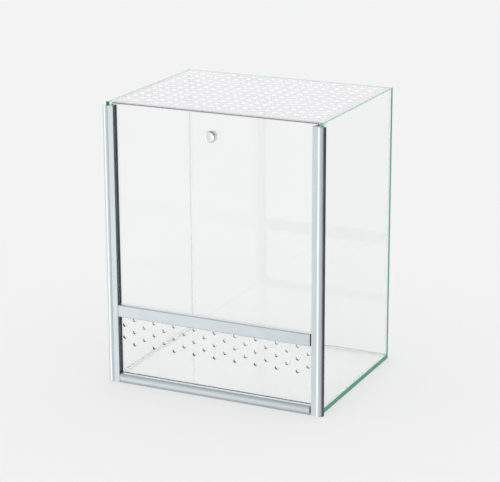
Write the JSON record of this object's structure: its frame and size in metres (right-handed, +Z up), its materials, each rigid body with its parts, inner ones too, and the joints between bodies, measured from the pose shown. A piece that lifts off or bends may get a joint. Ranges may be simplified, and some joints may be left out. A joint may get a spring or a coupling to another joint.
{
  "type": "glass hamster cage",
  "caption": "Free-standing clear glass small-animal cage with aluminium front posts and rails, a lift-up front door with a round knob, and drilled vent panels.",
  "frame": {"origin": "middle of the footprint, on the surface that the cage stands on", "axes": "+Z up, -Y out through the front door, +X to the right as seen from the front"},
  "size_m": [0.245, 0.1876, 0.3],
  "materials": {
    "glass": "clear float glass with green cut edges",
    "acrylic": "clear cast acrylic, polished faces, cut edges",
    "aluminium": "satin anodised extrusion",
    "knob_metal": "turned and polished",
    "adhesive": "clear adhesive disc",
    "silicone": "clear silicone"
  },
  "bodies": {
    "cage": {"base_glass": "glass", "left_glass": "glass", "right_glass": "glass", "back_glass": "glass", "top_plate": "acrylic", "vent_panel": "acrylic", "left_post": "aluminium", "right_post": "aluminium", "mid_rail": "aluminium", "bottom_rail": "aluminium", "floor_seam_left": "silicone", "floor_seam_right": "silicone", "floor_seam_back": "silicone", "corner_seam_left": "silicone", "corner_seam_right": "silicone", "top_seam_left": "silicone", "top_seam_right": "silicone", "top_seam_back": "silicone", "post_bond_left": "silicone", "post_bond_right": "silicone", "rail_bond": "silicone"},
    "door": {"door_panel": "acrylic", "knob": "knob_metal", "knob_pad": "adhesive"}
  },
  "joints": [
    {"name": "door_slide", "type": "slide", "parent": "cage", "child": "door", "axis": [0, 0, 1], "range_m": [0, 0.222]}
  ]
}
